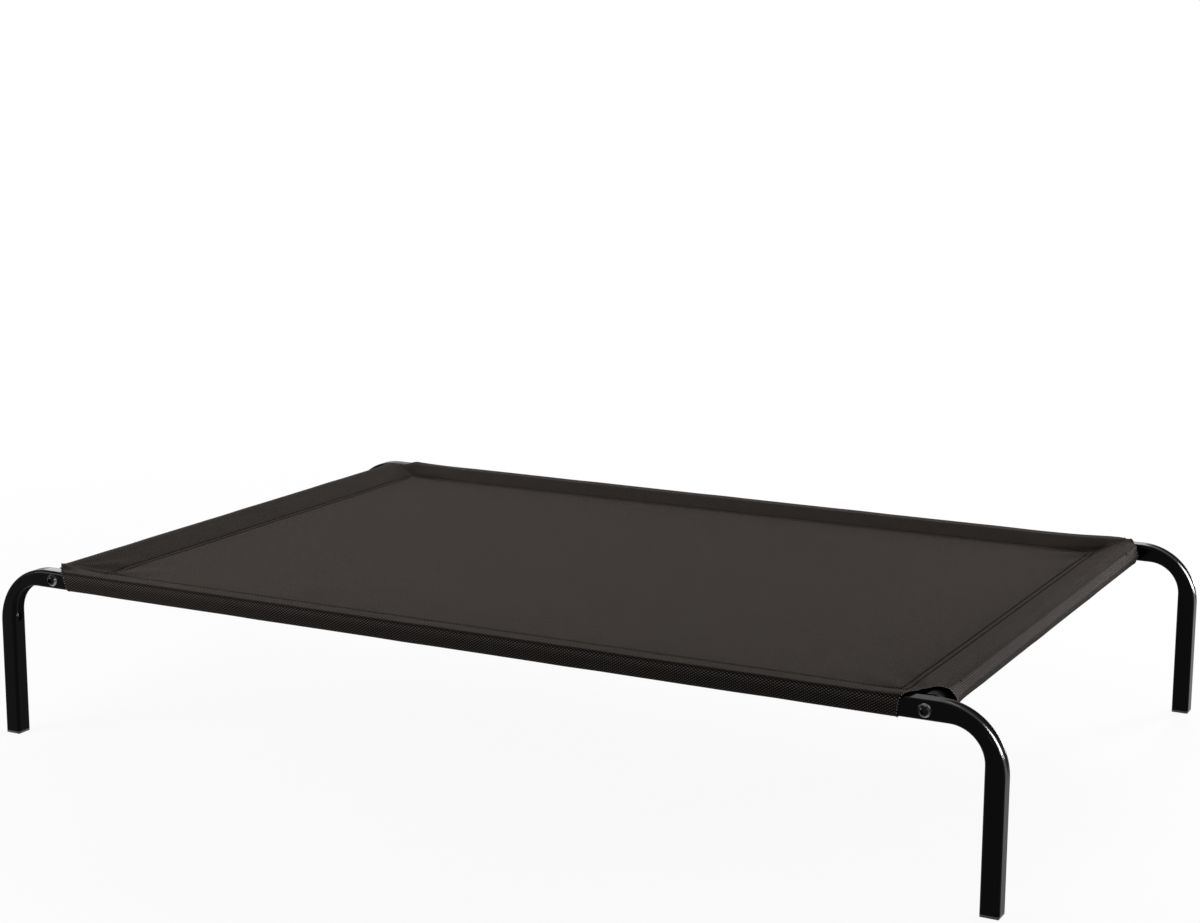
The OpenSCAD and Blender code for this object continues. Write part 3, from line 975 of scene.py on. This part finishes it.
# Bed: the cloth and its sewing
def make_bed():
    cloth, points, sleeves, area = make_cloth()
    black = thread_material("black_thread", BLACK_THREAD, gloss=0.004)
    warm = thread_material("warm_thread", WARM_THREAD, gloss=0.008, sheen=0.08)
    grey = thread_material("grey_thread", GREY_THREAD, gloss=0.2)
    paths = cutout_edges(points, sleeves)
    sewing = [
        make_stitches("long_seam_stitches", seam_stitches(lengthwise_x=True), STITCH_RADIUS, warm),
        make_stitches("short_seam_stitches", seam_stitches(lengthwise_x=False), STITCH_RADIUS, black),
        make_stitches("bar_tacks", bar_tacks(), STITCH_RADIUS, black),
        make_binding(paths, black),
        make_stitches("edge_stitches", binding_stitches(paths), EDGE_STITCH_RADIUS, grey),
    ]
    for piece in [cloth, *sewing]:
        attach(piece, "root")
    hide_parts("sleeping_panel", "front_sleeve", "rear_sleeve", "left_sleeve", "right_sleeve")


# Studio: floor, background, lamps and camera
def seen_directly(tree):
    """1 for rays from the camera and for reflected or refracted views, and otherwise 0."""
    path = linked(tree, "ShaderNodeLightPath")
    seen = calculate(tree, "MAXIMUM", path.outputs["Is Camera Ray"], path.outputs["Is Glossy Ray"])
    return calculate(tree, "MAXIMUM", seen, path.outputs["Is Transmission Ray"])


def floor_material():
    """Pale, and near white where it is seen directly: it keeps the object's shadow near the middle."""
    material, tree, shader = new_material("pale_floor")
    shader.inputs["Base Color"].default_value = PALE_FLOOR
    shader.inputs["Roughness"].default_value = 0.9
    white = linked(tree, "ShaderNodeEmission", {"Color": WHITE, "Strength": 1.0})
    distance = calculate_vector(tree, "LENGTH", object_place(tree))
    whiteness = between_values(tree, distance, low=0.92, high=1.0, from_low=0.6, from_high=2.0)
    share = calculate(tree, "MULTIPLY", seen_directly(tree), whiteness)
    mix = linked(tree, "ShaderNodeMixShader", {0: share, 1: shader.outputs[0], 2: white.outputs[0]})
    output = next(n for n in tree.nodes if n.type == "OUTPUT_MATERIAL")
    tree.links.new(mix.outputs[0], output.inputs["Surface"])
    return material


def make_floor():
    signs = ((-1, -1), (1, -1), (1, 1), (-1, 1))
    points = [(FLOOR_HALF * x, FLOOR_HALF * y, 0) for x, y in signs]
    floor = mesh_object("floor", points, [(0, 1, 2, 3)], floor_material())


def make_world():
    world = bpy.data.worlds.new("studio")
    scene.world = world
    world.use_nodes = True
    tree = world.node_tree
    strength = between_values(tree, seen_directly(tree), FILL_LIGHT, 1.0, from_low=0.0, from_high=1.0)
    background = next(n for n in tree.nodes if n.type == "BACKGROUND")
    background.inputs["Color"].default_value = WHITE
    tree.links.new(strength, background.inputs["Strength"])


def add_lamp(name, place, target, size, power, mirrored=True):
    """A soft rectangular lamp. With mirrored off, it lights but shows in no reflection."""
    lamp = bpy.data.lights.new(name, "AREA")
    lamp.shape = "RECTANGLE"
    lamp.size, lamp.size_y = size
    lamp.energy = power
    holder = bpy.data.objects.new(name, lamp)
    holder.location = place
    holder.rotation_euler = (Vector(target) - Vector(place)).to_track_quat("-Z", "Y").to_euler()
    holder.visible_camera = False
    holder.visible_glossy = mirrored
    scene.collection.objects.link(holder)


def make_lamps():
    middle = (0.0, 0.0, 0.15)
    right_side = (0.55, 0.0, 0.15)
    front_left_arm, front_left_bend = (-0.5, -0.37, 0.17), (-0.53, -0.36, 0.2)
    front_right_arm, rear_right_arm = (0.52, -0.38, 0.19), (0.54, 0.36, 0.2)
    add_lamp("rear_softbox", place=(1.62, 2.5, 0.5), target=right_side, size=(0.8, 0.98), power=112)
    add_lamp("front_softbox", place=(-1.3, -1.3, 0.6), target=front_left_arm, size=(0.7, 0.7), power=18)
    add_lamp("side_softbox", place=(2.5, 0.5, 0.8), target=middle, size=(1.2, 0.6), power=4)
    add_lamp("high_softbox", place=(0.0, 3.0, 1.7), target=middle, size=(1.2, 1.0), power=96, mirrored=False)
    add_lamp("left_softbox", place=(-2.5, 1.76, 0.95), target=front_left_bend, size=(0.6, 0.5), power=3)
    add_lamp("back_softbox", place=(0.04, 2.5, 0.71), target=rear_right_arm, size=(0.3, 0.3), power=0.6)
    add_lamp("small_softbox", place=(1.9, -1.9, 0.95), target=front_right_arm, size=(0.4, 0.4), power=4)


def make_camera():
    back = Vector((
        math.sin(CAMERA_AZIMUTH) * math.cos(CAMERA_ELEVATION),
        -math.cos(CAMERA_AZIMUTH) * math.cos(CAMERA_ELEVATION),
        math.sin(CAMERA_ELEVATION),
    ))
    level = Vector((math.cos(CAMERA_AZIMUTH), math.sin(CAMERA_AZIMUTH), 0))
    raised = back.cross(level)
    right = level * math.cos(CAMERA_ROLL) + raised * math.sin(CAMERA_ROLL)
    up = back.cross(right)
    camera = bpy.data.cameras.new("photo_camera")
    camera.sensor_fit = "HORIZONTAL"
    camera.sensor_width = SENSOR
    camera.lens = FOCAL_PIXELS / IMAGE_WIDTH * SENSOR
    holder = bpy.data.objects.new("photo_camera", camera)
    holder.matrix_world = Matrix.Translation(CAMERA_PLACE) @ Matrix((right, up, back)).transposed().to_4x4()
    scene.collection.objects.link(holder)
    scene.camera = holder


scene.view_settings.view_transform = "Standard"
make_camera()
dress_frame()
make_bed()
make_floor()
make_world()
make_lamps()
